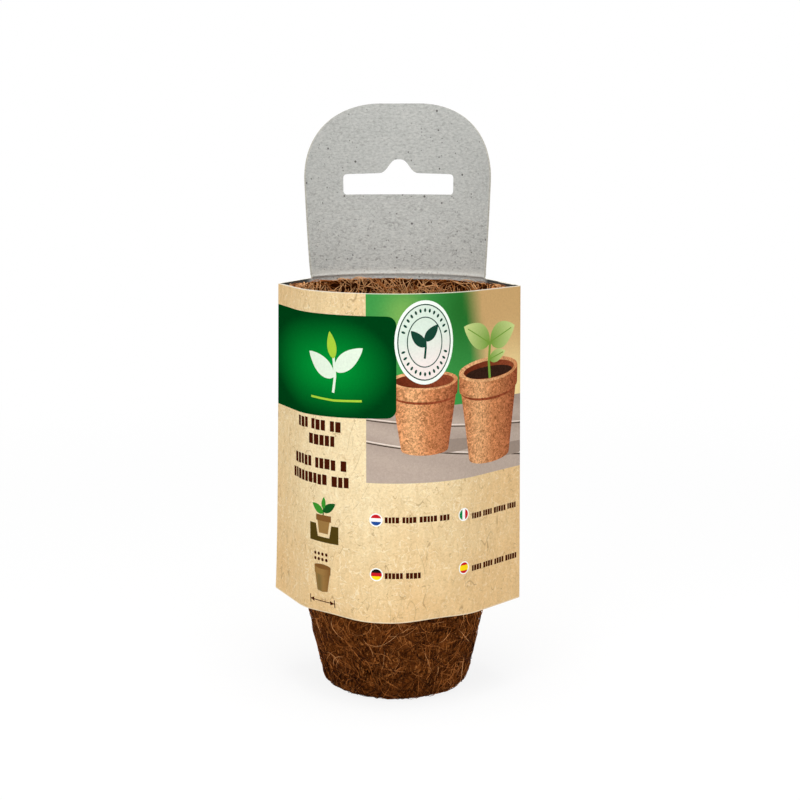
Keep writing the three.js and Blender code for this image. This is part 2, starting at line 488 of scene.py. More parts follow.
# Ends of the top rim that stand out into the two creases of the card
def fringeStrands(rng, count):
    n = fibre["points"]
    side = rng.random(count) < 0.5
    reach = np.where(side, *fibre["fringeReach"]) * np.sqrt(rng.random(count))
    middle = np.where(side, math.pi, 0.0) + rng.normal(0, fibre["fringeSpread"] * 0.45, count)
    swing = rng.uniform(*fibre["fringeSwing"], count)
    t = np.linspace(-1, 1, n)[:, None]
    angle = middle + swing * t
    off = np.abs((angle + math.pi / 2) % math.pi - math.pi / 2)
    bulge = np.exp(-(off / fibre["fringeSpread"]) ** 2) * reach * (1 - 0.25 * t ** 2)
    radius = rimRadius - rng.uniform(*fibre["fringeIn"], count) + bulge * 1.25
    height = pot["height"] - rng.uniform(*fibre["fringeDown"], count)
    height = height + t * rng.normal(0, fibre["fringeWave"], count) - fibre["fringeSag"] * t ** 2
    centres = np.stack([radius * np.cos(angle), radius * np.sin(angle), height], -1).transpose(1, 0, 2)
    outs = np.zeros_like(centres)
    outs[..., 2] = 1
    return centres, outs


# Fibres lying on the flat base or floor, kept inside the radius reach
def discStrands(rng, count, height, reach, facing):
    n = fibre["points"]
    spot = rng.uniform(-reach, reach, (count, 2))
    heading = rng.uniform(0, fullTurn, count)
    step = rng.uniform(*fibre["length"], count) / (n - 1)
    turn = rng.normal(0, fibre["bend"], count)
    lift = rng.uniform(0.0, fibre["lift"][1] * 0.6, count)
    centres = np.zeros((count, n, 3))
    for i in range(n):
        out = np.hypot(*spot.T)
        spot = spot * np.minimum(1, reach / np.maximum(out, 1e-9))[:, None]
        centres[:, i, :2] = spot
        centres[:, i, 2] = height + facing * lift
        spot = spot + np.stack([np.cos(heading), np.sin(heading)], -1) * step[:, None]
        heading = heading + turn
    outs = np.zeros_like(centres)
    outs[..., 2] = facing
    return centres, outs


# A thin three-sided closed tube along every strand
def tubes(centres, outs, thick):
    count, n = centres.shape[:2]
    ahead = np.gradient(centres, axis=1)
    ahead /= np.linalg.norm(ahead, axis=2, keepdims=True) + 1e-12
    side = np.cross(ahead, outs)
    side /= np.linalg.norm(side, axis=2, keepdims=True) + 1e-12
    up = np.cross(side, ahead)
    t = np.linspace(-1, 1, n)
    girth = thick[:, None] * (1 - 0.75 * np.abs(t) ** 3)
    corners = []
    for k in range(3):
        a = fullTurn * k / 3
        corners.append(centres + girth[..., None] * (math.cos(a) * up + math.sin(a) * side))
    ring = np.stack(corners, 2)
    index = np.arange(count * n * 3).reshape(count, n, 3)
    beside = np.roll(index, -1, axis=2)
    quads = np.stack([index[:, :-1], beside[:, :-1], beside[:, 1:], index[:, 1:]], -1).reshape(-1, 4)
    ends = np.vstack([index[:, 0, ::-1], index[:, -1]])
    return ring.reshape(-1, 3), quads, ends


coirLook = {
    "matTone": (
        (0.37, (0.006, 0.0012, 0.0002)), (0.46, (0.040, 0.0090, 0.0015)), (0.60, (0.110, 0.0300, 0.0055)),
    ),
    "matStretch": (1.0, 1.0, 0.3),
    "matHairs": (  # scale, thinness, turn of the pattern, colour
        (420.0, 0.070, (0.5, 0.3, 0.2), (0.150, 0.0420, 0.0080)),
        (520.0, 0.060, (1.3, -0.4, 0.9), (0.020, 0.0040, 0.0006)),
        (560.0, 0.055, (-0.6, 0.8, 1.7), (0.230, 0.0720, 0.0150)),
        (700.0, 0.060, (0.2, 1.2, 2.4), (0.170, 0.0500, 0.0100)),
        (480.0, 0.032, (1.0, 0.1, 0.4), (0.400, 0.1500, 0.0400)),
    ),
    # painted shade: the colour the mat is darkened towards inside the top pot's mouth
    "mouthShadeTone": (0.022, 0.0040, 0.0005),
    "toneWithPaintedLight": (
        (0.0, (0.020, 0.0034, 0.0004)), (0.26, (0.098, 0.0225, 0.0034)), (0.50, (0.275, 0.0860, 0.0180)),
        (0.74, (0.660, 0.2350, 0.0580)), (1.0, (0.960, 0.5300, 0.2400)),
    ),
    "strandDull": (0.35, 0.30, 0.28),
    "footPaintedShade": (24 * mm, 0.16),  # painted shade: how high the shaded foot of a pot reaches, and how much it takes off the fibres' tone
}


# The mat under the loose fibres, and the fibres. On a fibre the tone attribute is its own tone, raised by
# painted light inside the pots; on the mat it is the share of painted shade inside the top pot's mouth
def coirMaterials():
    matted = Surface("mattedCoir", 0.85, 0.0)
    pits = matted.noise(260.0, 4.0, 0.7, 1.0)
    patch = matted.noise(75.0, 2.0)
    both = matted.plus(matted.times(pits, 0.8), matted.times(patch, 0.2))
    tone = matted.ramp(both, *coirLook["matTone"])
    for scale, thin, turn, shade in coirLook["matHairs"]:
        fibres = matted.hairs(scale, thin, 0.44, 1.2, coirLook["matStretch"] + turn)
        tone = matted.mix(matted.times(fibres, 0.85), tone, shade)
        both = matted.plus(both, matted.times(fibres, 0.35))
    # painted shade: the mat darkens inside the top pot's mouth, by the share its tone attribute gives
    matted.color(matted.mix(matted.read("toneWithPaintedLight", "Fac"), tone, coirLook["mouthShadeTone"]))
    matted.bump(both, 0.22 * mm, 0.9)

    strand = Surface("coirStrand", 0.66, 0.05)
    patch = strand.noise(70.0, 2.0)
    value = strand.times(strand.math("SUBTRACT", patch, 0.5), 0.55)
    value = strand.plus(strand.read("toneWithPaintedLight", "Fac"), value)
    # painted shade: the fibres darken towards the floor
    high, footShade = coirLook["footPaintedShade"]
    value = strand.math("SUBTRACT", value, strand.spread(strand.axis("Z"), 0.0, high, footShade, 0.0))
    body = strand.ramp(value, *coirLook["toneWithPaintedLight"])
    grainy = strand.spread(strand.noise(2400.0, 3.0), 0.3, 0.7)
    strand.color(strand.tint(0.6, body, grainy, coirLook["strandDull"], (1.0, 1.0, 1.0)))
    strand.rough(strand.spread(grainy, 0.0, 1.0, 0.50, 0.78))
    strand.bump(grainy, 0.04 * mm, 0.6)
    return matted.material, strand.material


coirMats = coirMaterials()


# Painted light: the fibres inside the pots, and most of all those up the top pot's mouth and throat, are
# made lighter where light falls in from above
strands = {  # how many, how many in the top pot, how light, how much they differ and how thick
    "outside": (2700, 1280, 0.02, 1.05, 1.0),
    "collar": (540, 540, 0.06, 1.0, 1.0),
    "inside": (1000, 520, 0.14, 1.0, 1.0),
    "under": (130, 60, 0.0, 1.0, 1.0),
    "floor": (120, 120, 0.10, 1.0, 1.0),
    "mouth": (0, 1350, 0.34, 1.65, 1.5),
    "throat": (0, 600, 0.16, 1.3, 1.3),
    "fringe": (0, 320, 0.26, 1.3, 1.4),
}

# Painted shade on the mat inside the top pot's mouth, between these distances past the rim
mouthShade = {
    "from": 0.6 * mm,  # past the rim
    "to": 12 * mm,
    "deep": 0.8,
}


# The strands of one pot by their place on it
def strandGroups(rng, seed, lowest, highest):
    counts = {name: look[int(highest)] for name, look in strands.items()}
    foot, rim, end = wall["foot"], wall["rim"], wall["end"]
    shoulder = foot + pot["height"] - pot["collarHeight"]
    flat = pot["footRadius"] - pot["footRounding"]
    loose, looseInside = (1.0 if shown else 0.3 for shown in (lowest, highest))

    def walls(name, start, stop, number, stand, stray):
        return wallStrands(rng, counts[name], start, stop, number, stand, stray)

    groups = {
        "outside": walls("outside", foot - 2 * mm, shoulder + 2 * mm, seed, 1.0, loose),
        "collar": walls("collar", shoulder + 1 * mm, rim + 1.5 * mm, seed, 0.3, 0.0),
        "inside": walls("inside", rim - 1 * mm, end - flat + 2 * mm, seed + 7, 0.8, looseInside),
        "under": discStrands(rng, counts["under"], pot["inset"], flat, -1),
        "floor": discStrands(rng, counts["floor"], pot["floor"] - 0.1 * mm, flat - 2 * mm, 1),
    }
    if highest:
        groups["mouth"] = walls("mouth", rim - 0.5 * mm, rim + 8 * mm, seed + 9, 1.7, 1.1)
        groups["throat"] = walls("throat", rim + 4 * mm, rim + 20 * mm, seed + 9, 1.4, 0.8)
        groups["fringe"] = fringeStrands(rng, counts["fringe"])
    return groups


def makePot(number):
    seed = 100 + number
    rng = np.random.default_rng(seed)
    basePoints, baseQuads, baseFans = mattedBase(seed)
    groups = strandGroups(rng, seed, number == 1, number == potCount)
    past = wall["along"][1:-1] - wall["rim"]
    shaded = (past > mouthShade["from"]) & (past < mouthShade["to"]) & (number == potCount)
    # painted shade on the mat inside the top pot's mouth
    baseMouthShade = np.append(np.repeat(mouthShade["deep"] * shaded, pot["sides"]), (0, 0))
    points, quads, tris, tones = [basePoints], [baseQuads], [baseFans], [baseMouthShade]
    start = len(basePoints)
    strandQuads = strandEnds = 0
    for name, (centres, outs) in groups.items():
        light, differ, girth = strands[name][2:]
        count = len(centres)
        thin, stout = fibre["radius"]
        thick = girth * rng.triangular(thin, thin * 1.2, stout, count)
        centres[..., 2] = np.maximum(centres[..., 2], fibre["floorClear"])
        ring, sides, ends = tubes(centres, outs, thick)
        # each group's lightness, raised by painted light inside the pots
        tone = np.clip(differ * rng.beta(1.9, 2.9, count) + light, 0, 1)
        points.append(ring)
        quads.append(sides + start)
        tris.append(ends + start)
        tones.append(np.repeat(tone, ring.shape[0] // count))
        start += len(ring)
        strandQuads += len(sides)
        strandEnds += len(ends)
    points = np.vstack(points)
    points[:, 2] += (number - 1) * nestPitch
    faceMats = np.concatenate([
        np.zeros(len(baseQuads)), np.ones(strandQuads), np.zeros(len(baseFans)), np.ones(strandEnds)])
    faces = [np.vstack(quads), np.vstack(tris)]
    mesh = meshOf(f"dressedPot{number}", points, faces, coirMats, faceMats)
    attribute = mesh.attributes.new("toneWithPaintedLight", "FLOAT", "POINT")
    attribute.data.foreach_set("value", np.concatenate(tones).astype(np.float32))
    piece = addPiece(f"dressed_pot_{number}", mesh)
    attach(piece, f"pot_{number}")
    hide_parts(f"coir_pot_{number}")
    return 2 * len(mesh.polygons) - strandEnds - len(baseFans)


facets = [makePot(number) for number in range(1, potCount + 1)]
print("coir pots are dressed, most triangles in one pot:", max(facets))


# Card sleeve

sleeveLow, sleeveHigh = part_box("card_sleeve")

sleeve = {
    "card": 0.6 * mm,
    "fold": 1.2 * mm,  # radius of a crease
    "round": sleeveHigh.y,
    "reachFoot": (-sleeveLow.x, sleeveHigh.x),  # from the axis out to the left and right creases
    "reachTop": (35.1 * mm, 36.6 * mm),
    "half": 50.9,  # half a panel's width along the card, in mm
    "length": (sleeveHigh.z - sleeveLow.z) / mm,
    "acrossStep": 1.7,
    "upStep": 3.35,
    "lap": (38.9, 47.9),  # the glued flap inside the back panel, from and to
    "seam": 48.9,  # where the back panel's cut edge shows outside
    "seamWidth": 0.22,
    "seamDepth": 0.35 * mm,
    "swell": 0.14 * mm,  # slight unevenness of the front panel
    "endRise": 9.0,  # how far from an end its unevenness reaches
    "frontDip": 0.38 * mm,
    "creaseDip": (0.62 * mm, 0.38 * mm),
    "creaseBow": (0.34 * mm, 0.0),  # how far a crease runs inwards between foot and top
    "backDipFrom": (36.5, 29.8),
    "footRise": 0.4 * mm,
    "footFlat": 1.2 * mm,
    "flank": (2, 30),  # where the front's foot flattens: from, and how far on
    "foldStep": 0.16,  # between the points round a crease
    "stepRoom": 0.3,  # no even column stands nearer to a step in the back panel
    "sharpAngle": 40,
}

paper = {  # sRGB
    # the first and third kraft tones are painted light and painted shade round the kraft's own tone
    "kraftPaintedLight": (241, 221, 178),
    "kraft": (232, 206, 159),
    "kraftPaintedShade": (227, 192, 140),
    "kraftHair": (186, 142, 88),
    "kraftPale": (252, 242, 212),
    "board": (185, 186, 182),
    "boardDark": (149, 149, 144),
    "boardPale": (205, 205, 199),
    "cut": (236, 230, 214),
    "cutGrey": (186, 183, 172),
}

inks = {  # sRGB
    "panelEdge": (0, 62, 21),
    "panelMid": (2, 150, 54),
    "sprig": (226, 240, 220),
    "sprigLow": (166, 204, 60),
    "brown": (66, 22, 8),
    "sealPaper": (240, 250, 238),
    "sealTop": (216, 230, 216),
    "sealLow": (238, 228, 222),
    "sealGreen": (24, 66, 50),
    "soil": (78, 62, 20),
    "soilLight": (120, 100, 58),
    "iconPot": (152, 116, 65),
    "iconCollar": (126, 86, 44),
    "iconLeaf": (58, 142, 46),
    "iconLeafDark": (22, 84, 32),
    "gardenGreen": (62, 150, 72),
    "gardenDeep": (34, 104, 38),
    "gardenLime": (150, 190, 96),
    "gardenTan": (204, 166, 112),
    "gardenCream": (244, 222, 160),
    "boards": (190, 173, 160),
    "boardsShade": (154, 138, 126),
    "boardsEdge": (232, 218, 206),
    "boardGap": (70, 58, 50),
    "clay": (206, 138, 92),
    "clayLight": (232, 178, 128),
    "clayShade": (146, 74, 48),
    "clayInside": (96, 38, 20),
    "earth": (54, 34, 26),
    "leafLight": (214, 226, 150),
    "leafShade": (116, 156, 62),
    "white": (248, 248, 244),
    "red": (196, 30, 38),
    "blue": (34, 76, 150),
    "black": (28, 24, 24),
    "gold": (250, 218, 30),
    "flagGreen": (24, 132, 70),
}


def linear(color):
    share = np.asarray(color, float) / 255
    return np.where(share <= 0.04045, share / 12.92, ((share + 0.055) / 1.055) ** 2.4)


# Where a place on the flat card lies once folded: s runs along the card from the middle of a
# panel, h up from the foot, both in mm. side is -1 on the front panel and 1 on the back
def sleevePoint(s, h, inset, side):
    s, h = np.broadcast_arrays(np.asarray(s, float), np.asarray(h, float))
    foot, top, bow, dip, start = (
        np.where(s < 0, *sleeve[name])
        for name in ("reachFoot", "reachTop", "creaseBow", "creaseDip", "backDipFrom"))
    share = np.clip(h / sleeve["length"], 0, 1)
    reach = foot + (top - foot) * share - bow * np.sin(math.pi * share ** 0.7)
    fold, round, half = sleeve["fold"], sleeve["round"], sleeve["half"]
    centre = reach - fold
    turn = np.arccos((round - fold) / centre)
    lean = math.pi / 2 - turn
    roundRun = round * lean
    flatRun = np.sqrt(centre ** 2 - (round - fold) ** 2)
    run = np.abs(s) / half * (roundRun + flatRun + fold * turn)
    past = np.clip(run - roundRun - flatRun, 0, None)
    angle = np.where(run < roundRun, run / round, lean) + past / fold
    onFold = past > 0
    straight = np.where(onFold, 0.0, np.clip(run - roundRun, 0, flatRun))
    radius = np.where(onFold, fold, round) - inset
    nearTop, nearFoot = (
        np.clip(1 - away / sleeve["endRise"], 0, 1) ** 2 for away in (sleeve["length"] - h, h))
    if side < 0:  # the front's cut edges run a little out of level and its foot is flatter
        flankFrom, flankWide = sleeve["flank"]
        flank = np.sin(math.pi * np.clip((np.abs(s) - flankFrom) / flankWide, 0, 1)) ** 2
        middle = sleeve["frontDip"]
        rise = nearFoot * flank * sleeve["footRise"] - nearTop * (
            middle + (dip - middle) * (np.abs(s) / half) ** 6)
        radius = radius - nearFoot * flank * sleeve["footFlat"]
    else:
        rise = -nearTop * dip * np.clip((np.abs(s) - start) / (half - start), 0, 1)
    x = np.where(onFold, centre, 0.0) + radius * np.sin(angle) + straight * np.cos(lean)
    y = -radius * np.cos(angle) + straight * np.sin(lean)
    return np.stack([np.sign(s) * x, -side * y, sleeveLow.z + h * mm + rise], -1)


# Slight unevenness of the front, in the manner of a card that has been handled
def swell(s, h):
    fade = np.cos(math.pi / 2 * np.clip(np.abs(s) / sleeve["half"], 0, 1)) ** 1.5
    return -sleeve["swell"] * fade * np.sin(s / 7.4 + h / 31 + 0.6) * np.cos(h / 23 - s / 40)


# Triangulates a flat card with the printed shapes as inner edges: points, triangles and top shape
def cutCard(edge, lattice, shapes):
    points = [tuple(p) for p in edge]
    faces = [list(range(len(points)))]
    for shape in shapes:
        faces.append(list(range(len(points), len(points) + len(shape))))
        points += [tuple(p) for p in shape]
    points += [tuple(p) for p in lattice]
    made = delaunay_2d_cdt([Vector(p) for p in points], [], faces, 0, 1e-4)
    inside = [(corners, max(over)) for corners, over in zip(made[2], made[5]) if 0 in over]
    flat = np.array([tuple(v) for v in made[0]])
    return flat, np.array([corners for corners, top in inside]), np.array([top for corners, top in inside])


# Joins equal points of a piece made of several sheets and turns its faces outwards
def closeUp(mesh):
    solid = bmesh.new()
    solid.from_mesh(mesh)
    bmesh.ops.remove_doubles(solid, verts=solid.verts, dist=weldGap)
    loose = [edge for edge in solid.edges if not edge.is_manifold]
    ends = {vert for edge in loose for vert in edge.verts}
    for edge in loose:  # an edge that runs past a corner of its neighbour gets a point there
        first, last = edge.verts
        for vert in ends - {first, last}:
            near, size = (vert.co - first.co).length, edge.calc_length()
            if near + (vert.co - last.co).length < size + 1e-7:
                bmesh.utils.edge_split(edge, first, near / size)
                break
    bmesh.ops.remove_doubles(solid, verts=solid.verts, dist=weldGap)
    bmesh.ops.recalc_face_normals(solid, faces=solid.faces)
    loose = sum(not edge.is_manifold for edge in solid.edges)
    solid.to_mesh(mesh)
    solid.free()
    mesh.set_sharp_from_angle(angle=math.radians(sleeve["sharpAngle"]))
    print(mesh.name, "open edges:", loose)


# Printed shapes on the front: each is an outline in mm, a paint and how fibrous it looks

printed = []


def plain(name):
    color = linear(inks[name])
    return lambda s, h: np.broadcast_to(color, (*s.shape, 3))


def blend(first, second, share):
    a, b = linear(inks[first]), linear(inks[second])
    return lambda s, h: a + (b - a) * np.clip(share(s, h), 0, 1)[..., None]


# Light falling from the left on something round that stands between two sides
def rounded(light, body, shade, centre, half):
    a, b, c = linear(inks[light]), linear(inks[body]), linear(inks[shade])

    def paint(s, h):
        u = np.clip((s - centre) / half, -1, 1)[..., None]
        bright = np.clip(1 - np.abs(u + 0.38) / 0.5, 0, 1)
        dark = np.clip((u - 0.05) / 0.95, 0, 1) ** 1.2 + np.clip((-u - 0.8) / 0.2, 0, 1) * 0.35
        return (b + (a - b) * bright) * (1 - dark) + c * dark

    return paint


# Puts an outline on the card: keeps it inside, runs it anticlockwise and breaks its long sides, so
# it can bend. paint is an ink's name or a function of the place on the card
def lay(outline, paint, grain=0.0):
    half, length = sleeve["half"], sleeve["length"]
    points = np.clip(np.asarray(outline, float), (-half, 0), (half, length))
    ahead = np.roll(points, -1, axis=0)
    if np.sum(points[:, 0] * ahead[:, 1] - ahead[:, 0] * points[:, 1]) < 0:
        points = points[::-1]
    fine = []
    for here, there in zip(points, np.roll(points, -1, axis=0)):
        parts = math.ceil(np.hypot(*(there - here)) / sleeve["acrossStep"])
        fine += [here + (there - here) * k / parts for k in range(parts)]
    printed.append((np.array(fine), plain(paint) if isinstance(paint, str) else paint, grain))


def oval(s, h, across, up, steps=28, start=0.0, stop=fullTurn, turn=0.0):
    around = np.linspace(start, stop, steps, endpoint=stop - start < 6.28)
    x, y = across * np.cos(around), up * np.sin(around)
    tilt, level = math.sin(turn), math.cos(turn)
    return np.stack([s + x * level - y * tilt, h + x * tilt + y * level], -1)


def lowerHalf(s, h, across, up, steps):
    return oval(s, h, across, up, steps, math.pi, fullTurn)


def slab(left, low, right, high):
    return [(left, low), (right, low), (right, high), (left, high)]


# A leaf from its stem to its tip, widest before the middle
def leaf(ends, width):
    base, tip = np.array(ends, float)
    ahead = tip - base
    side = np.array([-ahead[1], ahead[0]]) / np.hypot(*ahead)
    t = np.linspace(0, 1, 14)
    half = width / 2 * np.sin(math.pi * t ** 0.8) ** 0.8
    spine = base + ahead * t[:, None]
    return np.vstack([spine + side * half[:, None], (spine - side * half[:, None])[-2:0:-1]])


def stroke(points, width):
    points = np.asarray(points, float)
    ahead = np.gradient(points, axis=0)
    side = np.stack([-ahead[:, 1], ahead[:, 0]], -1) / np.hypot(*ahead.T)[:, None] * width / 2
    return np.vstack([points + side, (points - side)[::-1]])


# Drawings: a leaf or a stroke with its width, or a plain outline, each with its ink
drawings = {
    "panelSprig": (
        (stroke, ((-0.2, -7.2), (0.5, -2.4), (0, 2.8)), 0.85, "sprig"),
        (leaf, ((0.2, -2.8), (-9.8, 3.8)), 5.2, "sprig"),
        (leaf, ((0.3, -1.0), (9.4, 5.8)), 5.0, "sprig"),
        (leaf, ((0, 2.4), (-1.4, 10.0)), 3.2, "sprigLow"),
        (stroke, ((-9, -9.0), (0, -9.4), (9, -9.0)), 0.6, "sprigLow"),
    ),
    "sealSprig": (
        (stroke, ((-0.1, -4.6), (0.2, -1.5), (0, 1.4)), 0.6, "sealGreen"),
        (leaf, ((0, -1.4), (-4.0, 3.2)), 2.9, "sealGreen"),
        (leaf, ((0, 0.2), (3.8, 4.8)), 2.8, "sealGreen"),
    ),
    "planting": (
        (None, (
            (-5.9, 0), (5.6, 0), (5.6, 5.2), (3.1, 5.2), (2.3, 1.5), (-2.3, 1.5), (-3.1, 5.2), (-5.9, 5.2),
        ), 0, "soil"),
        (None, ((-1.8, 2.6), (1.8, 2.6), (2.7, 7.6), (-2.7, 7.6)), 0, "iconPot"),
        (None, slab(-3.0, 6.2, 3.0, 8.0), 0, "iconCollar"),
        (stroke, ((0, 8), (0.1, 9.5), (0, 10.6)), 0.5, "iconLeafDark"),
        (leaf, ((0, 8.6), (-4.6, 11.0)), 2.4, "iconLeaf"),
        (leaf, ((0, 9.0), (4.6, 11.8)), 2.4, "iconLeafDark"),
        (leaf, ((0, 9.8), (0.4, 13.4)), 1.7, "iconLeaf"),
    ),
}


def draw(name, s, h):
    for shape, points, width, ink in drawings[name]:
        points = [(s + x, h + y) for x, y in points]
        lay(shape(points, width) if shape else points, ink)


# Lines of wording are left as plain blocks of the same height and length
def wording(rng, left, right, h, tall, wide, word):
    s = left
    run = 0
    while s < right - 0.6 * wide:
        step = min(wide * rng.uniform(0.8, 1.15), right - s)
        lift = tall * rng.uniform(-0.03, 0.03)
        lay(slab(s, h - tall / 2 + lift, s + step, h + tall / 2 + lift), "brown")
        run += 1
        s += step + 0.24 * wide
        if run >= word and rng.random() < 0.6:
            s += 0.8 * wide
            run = 0


def printGarden(left, low, right, high):
    horizon = low + 21.5

    def scenery(s, h):
        u, v = (s - left) / (right - left), (h - horizon) / (high - horizon)
        green, lime, deep, tan, cream = (
            linear(inks[name])
            for name in ("gardenGreen", "gardenLime", "gardenDeep", "gardenTan", "gardenCream"))
        sunny = np.clip((u - 0.62 + 0.10 * v) / 0.13, 0, 1)[..., None]
        dark = np.exp(-((u - 0.52) / 0.20) ** 2 - ((v - 0.85) / 0.5) ** 2)[..., None]
        light = np.exp(-((u - 0.92) / 0.22) ** 2 - ((v - 0.10) / 0.34) ** 2)[..., None]
        leafy = np.exp(-((u - 0.20) / 0.10) ** 2 - ((v - 0.80) / 0.22) ** 2)[..., None]
        color = green + (lime - green) * leafy * 0.6
        color = color + (deep - color) * dark * 0.9
        color = color + (tan - color) * sunny ** 1.2
        return color + (cream - color) * light * sunny

    def weathered(s, h):
        return 0.15 + 0.5 * np.sin(s / 9 + h / 2.5) ** 2 * (h - low) / 18

    lay(slab(left, low, right, high), scenery, 0.05)
    lay(slab(left, low, right, horizon), blend("boards", "boardsShade", weathered), 0.12)
    for first, second, thick in ((low + 11.2, low + 3.2, 0.34), (low + 17.6, low + 12.6, 0.30)):
        gap = [(left, first), (right, second), (right, second + thick), (left, first + thick)]
        lay([(s, h + 0.5) for s, h in gap], "boardsEdge", 0.1)
        lay(gap, "boardGap")
    printPot(12.8, low + 9.4, 6.9, 10.0, 19.5, False)
    printPot(36.2, low + 5.2, 9.0, 13.0, 25.0, True)
    printSeedling(36.2, low + 27.6)


# An upright collared pot: half its width at the foot, half at the collar, and its height
def printPot(s, foot, low, wide, tall, planted):
    collar, top = foot + tall * 0.76, foot + tall
    lay(oval(s + wide * 0.75, foot + 0.6, wide * 1.05, 1.9, 24), "boardsShade", 0.1)
    paint = rounded("clayLight", "clay", "clayShade", s, wide)
    base = lowerHalf(s, foot, low, low * 0.24, 12)
    lay([*base, (s + wide * 0.93, collar), (s - wide * 0.93, collar)], paint, 1.0)
    lay(lowerHalf(s, collar + 0.4, wide * 0.94, wide * 0.25, 14), "clayShade", 0.8)
    band = lowerHalf(s, collar + 1.0, wide * 0.99, wide * 0.24, 14)
    lay([*band, (s + wide, top), (s - wide, top)], paint, 1.0)
    lay(oval(s, top, wide, wide * 0.27, 30), rounded("clayLight", "clayLight", "clay", s, wide), 0.8)
    inside = blend("clayInside", "clayShade", lambda p, h: 0.5 + (p - s) / wide * 0.5)
    lay(oval(s, top - 0.1, wide * 0.87, wide * 0.2, 28), inside, 0.6)
    if planted:
        lay(oval(s, top - 0.8, wide * 0.8, wide * 0.13, 22), "earth", 0.6)


def printSeedling(s, h):
    lay(stroke([(s, h), (s - 0.5, h + 5), (s + 0.1, h + 10.5)], 1.0), "leafShade")
    leaves = (
        ((s, h + 10), (s - 11.2, h + 15.6), 7.2),
        ((s, h + 10.3), (s + 11.6, h + 14.2), 7.6),
        ((s - 0.3, h + 5.4), (s + 7.2, h + 7.2), 3.6),
    )
    for base, tip, width in leaves:
        span = math.hypot(tip[0] - base[0], tip[1] - base[1])
        fade = blend(
            "leafLight", "leafShade",
            lambda p, q, base=base, span=span: 1.05 - np.hypot(p - base[0], q - base[1]) / span * 0.9)
        lay(leaf((base, tip), width), fade)
        along = np.array(tip) - base
        vein = [np.array(base) + along * k for k in (0.05, 0.4, 0.86)]
        lay(stroke(vein, 0.32), "leafShade")


def printSeal(s, h, across, up):
    lay(oval(s, h, across, up, 48), "sealPaper")
    fade = blend("sealTop", "sealLow", lambda p, q: (h - q) / up * 1.4 + 0.3 + (p - s) / across * 0.3)
    for share, thick in ((0.91, 0.34), (0.60, 0.30)):
        lay(oval(s, h, across * share, up * share, 44), "sealGreen")
        lay(oval(s, h, across * share - thick, up * share - thick, 44), fade)
    for k in range(30):  # beads between the rings
        around = fullTurn * (k + 0.5) / 30
        x, y = math.cos(around), math.sin(around)
        if abs(y) < 0.24:
            continue
        turn = math.atan2(up * y, across * x) - math.pi / 2
        lay(oval(s + across * 0.75 * x, h + up * 0.755 * y, 0.34, 0.62, 7, turn=turn), "sealGreen")
    draw("sealSprig", s, h)


def printPanel(left, low, right, high, corner):
    s, h = left + 0.66 * (right - left), (low + high) / 2 - 0.6

    def quarter(y, start):
        return [(right - corner + corner * math.cos(a), y + corner * math.sin(a))
                for a in np.linspace(start, start + 1, 6) * math.pi / 2]

    outline = [*quarter(high - corner, 0), (left, high), (left, low), *quarter(low + corner, 3)]
    outline = [(x, y - (1.6 * (right - x) / (right - left) if y < h else 0.0)) for x, y in outline]
    fade = blend("panelMid", "panelEdge", lambda x, y: np.hypot(
        np.where(x < s, (s - x) / 40, (x - s) / 19), (y - h) / 14.5) ** 1.05)
    lay(outline, fade)
    draw("panelSprig", s, h)


def printCount(s, h):  # a dot for each pot
    for k in range(potCount):
        lay(oval(s + (k % 4 - 1.5) * 1.55, h + (0.8 if k < 4 else -0.8), 0.52, 0.52, 10), "brown")


def printPotIcon(s, low, tall, half):
    collar = low + tall * 0.72
    foot = [(s - half * 0.62, low + 0.4), (s, low), (s + half * 0.62, low + 0.4)]
    lay([*foot, (s + half * 0.9, collar), (s - half * 0.9, collar)],
        rounded("soilLight", "iconPot", "iconCollar", s, half))
    band = [(s - half * 0.97, collar), (s, collar - 0.5), (s + half * 0.97, collar)]
    lay([*band, (s + half, low + tall), (s - half, low + tall)],
        rounded("iconPot", "iconPot", "iconCollar", s, half))
    lay(oval(s, low + tall, half, 0.75, 18), "iconCollar")


def printMeasure(left, right, h):
    lay(slab(left, h - 0.16, right, h + 0.16), "brown")
    for end, way in ((left, 1), (right, -1)):
        lay(slab(end - 0.18, h - 1.3, end + 0.18, h + 1.3), "brown")
        lay([(end, h), (end + way * 1.7, h + 0.75), (end + way * 1.7, h - 0.75)], "brown")


# A striped disc: the outer stripes lie above and below the middle one, or to its sides if upright
def printRoundel(s, h, first, middle, last, upright, band):
    disc, under = 1.58, 1.92
    lay(oval(s, h, under, under, 26), "white")
    lay(oval(s, h, disc, disc, 26), middle)
    cut = math.asin(band / disc)
    base = math.pi / 2 if upright else 0.0
    for start, ink in ((base, first), (base + math.pi, last)):
        lay(oval(s, h, disc, disc, 12, start + cut, start + math.pi - cut), ink)


